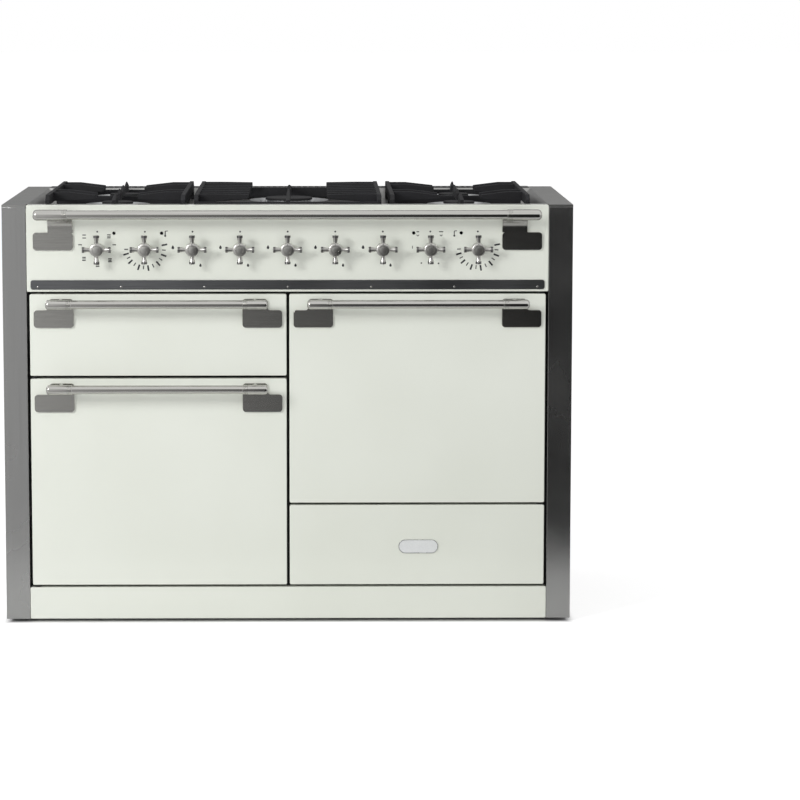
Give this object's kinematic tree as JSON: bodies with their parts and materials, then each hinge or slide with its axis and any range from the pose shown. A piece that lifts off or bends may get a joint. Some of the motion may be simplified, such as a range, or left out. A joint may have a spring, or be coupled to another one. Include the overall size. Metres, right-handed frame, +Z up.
{
  "type": "range cooker",
  "caption": "Free-standing double-oven range cooker with gas hob, side-hinged ovens, glide-out grill and storage drawer.",
  "frame": {"origin": "on the floor, at the middle of the overall width and depth", "axes": "+X to the right seen from the front, -Y towards the person cooking, +Z up"},
  "size_m": [1.212, 0.682, 0.918],
  "materials": {
    "enamel": "gloss vitreous enamel",
    "satin_steel": "satin",
    "polished_steel": "polished",
    "dark_steel": "satin, dark",
    "zinc_sheet": "zinc coated",
    "black_paint": "matt black",
    "black_steel": "semi-matt black",
    "oven_enamel": "dark vitreous enamel",
    "cast_iron": "matt enamelled",
    "cap_enamel": "matt enamelled",
    "burner_alloy": "cast, satin",
    "chromed_wire": "bright",
    "knob_metal": "turned satin",
    "brass": "plain",
    "element_sheath": "oxidised",
    "seal_rubber": "matt",
    "rubber_foot": "matt",
    "dark_plastic": "matt",
    "lamp_lens": "gloss"
  },
  "bodies": {
    "cooker": {"side_panels": "satin_steel", "back_panel": "zinc_sheet", "base_frame": "zinc_sheet", "plinth": "enamel", "levelling_feet": "rubber_foot", "front_frame": "black_paint", "hinge_brackets": "black_steel", "control_fascia": "enamel", "fascia_strip": "dark_steel", "guard_rail": "polished_steel", "hob_tray": "satin_steel", "rear_vent": "satin_steel", "burner_heads": "burner_alloy", "burner_caps": "cap_enamel", "left_oven_liner": "oven_enamel", "right_oven_liner": "oven_enamel", "oven_racks": "chromed_wire", "fan_covers": "oven_enamel", "fan_motors": "zinc_sheet", "heating_elements": "element_sheath", "door_seals": "seal_rubber", "grill_box": "oven_enamel", "gas_manifold": "brass", "gas_valves": "brass", "oven_controls": "dark_plastic", "indicator_lamps": "lamp_lens", "runner_channels": "zinc_sheet"},
    "left_door": {"left_door_panel": "enamel", "left_door_liner": "oven_enamel", "left_door_handle": "polished_steel"},
    "right_door": {"right_door_panel": "enamel", "right_door_liner": "oven_enamel", "right_door_handle": "polished_steel"},
    "grill_drawer": {"grill_front": "enamel", "grill_handle": "polished_steel", "grill_carriage": "satin_steel", "grill_pan": "oven_enamel", "grill_trivet": "chromed_wire"},
    "grill_mid_members": {"grill_mid_runners": "zinc_sheet"},
    "storage_drawer": {"storage_front": "enamel", "storage_box": "zinc_sheet"},
    "left_fan_wheel": {"left_fan": "burner_alloy"},
    "right_fan_wheel": {"right_fan": "burner_alloy"},
    "left_support": {"left_grate": "cast_iron"},
    "centre_support": {"centre_grate": "cast_iron"},
    "right_support": {"right_grate": "cast_iron"},
    "function_selector": {"function_knob": "knob_metal"},
    "left_oven_thermostat": {"left_oven_knob": "knob_metal"},
    "grill_selector": {"grill_knob": "knob_metal"},
    "right_oven_thermostat": {"right_oven_knob": "knob_metal"},
    "spindle_1": {"gas_spindle_1": "brass"},
    "gas_control_1": {"gas_knob_1": "knob_metal"},
    "spindle_2": {"gas_spindle_2": "brass"},
    "gas_control_2": {"gas_knob_2": "knob_metal"},
    "spindle_3": {"gas_spindle_3": "brass"},
    "gas_control_3": {"gas_knob_3": "knob_metal"},
    "spindle_4": {"gas_spindle_4": "brass"},
    "gas_control_4": {"gas_knob_4": "knob_metal"},
    "spindle_5": {"gas_spindle_5": "brass"},
    "gas_control_5": {"gas_knob_5": "knob_metal"}
  },
  "joints": [
    {"name": "left_door_hinge", "type": "hinge", "parent": "cooker", "child": "left_door", "pos_m": [-0.539, -0.269, 0.3], "axis": [0, 0, -1], "range_deg": [0, 95]},
    {"name": "right_door_hinge", "type": "hinge", "parent": "cooker", "child": "right_door", "pos_m": [0.539, -0.269, 0.48], "axis": [0, 0, 1], "range_deg": [0, 95]},
    {"name": "grill_drawer_slide", "type": "slide", "parent": "cooker", "child": "grill_drawer", "axis": [0, -1, 0], "range_m": [0, 0.32]},
    {"name": "grill_runner_slide", "type": "slide", "parent": "cooker", "child": "grill_mid_members", "axis": [0, -1, 0], "range_m": [0, 0.16]},
    {"name": "storage_drawer_slide", "type": "slide", "parent": "cooker", "child": "storage_drawer", "axis": [0, -1, 0], "range_m": [0, 0.3]},
    {"name": "left_fan_spin", "type": "hinge", "parent": "cooker", "child": "left_fan_wheel", "pos_m": [-0.276, 0.185, 0.3055], "axis": [0, 1, 0], "continuous": true},
    {"name": "right_fan_spin", "type": "hinge", "parent": "cooker", "child": "right_fan_wheel", "pos_m": [0.276, 0.185, 0.485], "axis": [0, 1, 0], "continuous": true},
    {"name": "left_support_lift", "type": "slide", "parent": "cooker", "child": "left_support", "axis": [0, 0, 1], "range_m": [0, 0.1]},
    {"name": "centre_support_lift", "type": "slide", "parent": "cooker", "child": "centre_support", "axis": [0, 0, 1], "range_m": [0, 0.1]},
    {"name": "right_support_lift", "type": "slide", "parent": "cooker", "child": "right_support", "axis": [0, 0, 1], "range_m": [0, 0.1]},
    {"name": "function_turn", "type": "hinge", "parent": "cooker", "child": "function_selector", "pos_m": [-0.4036, -0.309, 0.807], "axis": [0, 1, 0], "range_deg": [0, 315]},
    {"name": "left_thermostat_turn", "type": "hinge", "parent": "cooker", "child": "left_oven_thermostat", "pos_m": [-0.3027, -0.309, 0.807], "axis": [0, 1, 0], "range_deg": [0, 270]},
    {"name": "gas_push_1", "type": "slide", "parent": "cooker", "child": "spindle_1", "axis": [0, 1, 0], "range_m": [0, 0.003], "stiffness_N_per_m": 900, "springref_m": -0.002},
    {"name": "gas_turn_1", "type": "hinge", "parent": "spindle_1", "child": "gas_control_1", "pos_m": [-0.2018, -0.309, 0.807], "axis": [0, -1, 0], "range_deg": [0, 210]},
    {"name": "gas_push_2", "type": "slide", "parent": "cooker", "child": "spindle_2", "axis": [0, 1, 0], "range_m": [0, 0.003], "stiffness_N_per_m": 900, "springref_m": -0.002},
    {"name": "gas_turn_2", "type": "hinge", "parent": "spindle_2", "child": "gas_control_2", "pos_m": [-0.1009, -0.309, 0.807], "axis": [0, -1, 0], "range_deg": [0, 210]},
    {"name": "gas_push_3", "type": "slide", "parent": "cooker", "child": "spindle_3", "axis": [0, 1, 0], "range_m": [0, 0.003], "stiffness_N_per_m": 900, "springref_m": -0.002},
    {"name": "gas_turn_3", "type": "hinge", "parent": "spindle_3", "child": "gas_control_3", "pos_m": [0, -0.309, 0.807], "axis": [0, -1, 0], "range_deg": [0, 210]},
    {"name": "gas_push_4", "type": "slide", "parent": "cooker", "child": "spindle_4", "axis": [0, 1, 0], "range_m": [0, 0.003], "stiffness_N_per_m": 900, "springref_m": -0.002},
    {"name": "gas_turn_4", "type": "hinge", "parent": "spindle_4", "child": "gas_control_4", "pos_m": [0.1009, -0.309, 0.807], "axis": [0, -1, 0], "range_deg": [0, 210]},
    {"name": "gas_push_5", "type": "slide", "parent": "cooker", "child": "spindle_5", "axis": [0, 1, 0], "range_m": [0, 0.003], "stiffness_N_per_m": 900, "springref_m": -0.002},
    {"name": "gas_turn_5", "type": "hinge", "parent": "spindle_5", "child": "gas_control_5", "pos_m": [0.2018, -0.309, 0.807], "axis": [0, -1, 0], "range_deg": [0, 210]},
    {"name": "grill_turn", "type": "hinge", "parent": "cooker", "child": "grill_selector", "pos_m": [0.3027, -0.309, 0.807], "axis": [0, 1, 0], "range_deg": [-150, 150]},
    {"name": "right_thermostat_turn", "type": "hinge", "parent": "cooker", "child": "right_oven_thermostat", "pos_m": [0.4036, -0.309, 0.807], "axis": [0, 1, 0], "range_deg": [0, 270]}
  ],
  "couplings": [
    {"joint": "grill_runner_slide", "follows": "grill_drawer_slide", "ratio": 0.5}
  ]
}
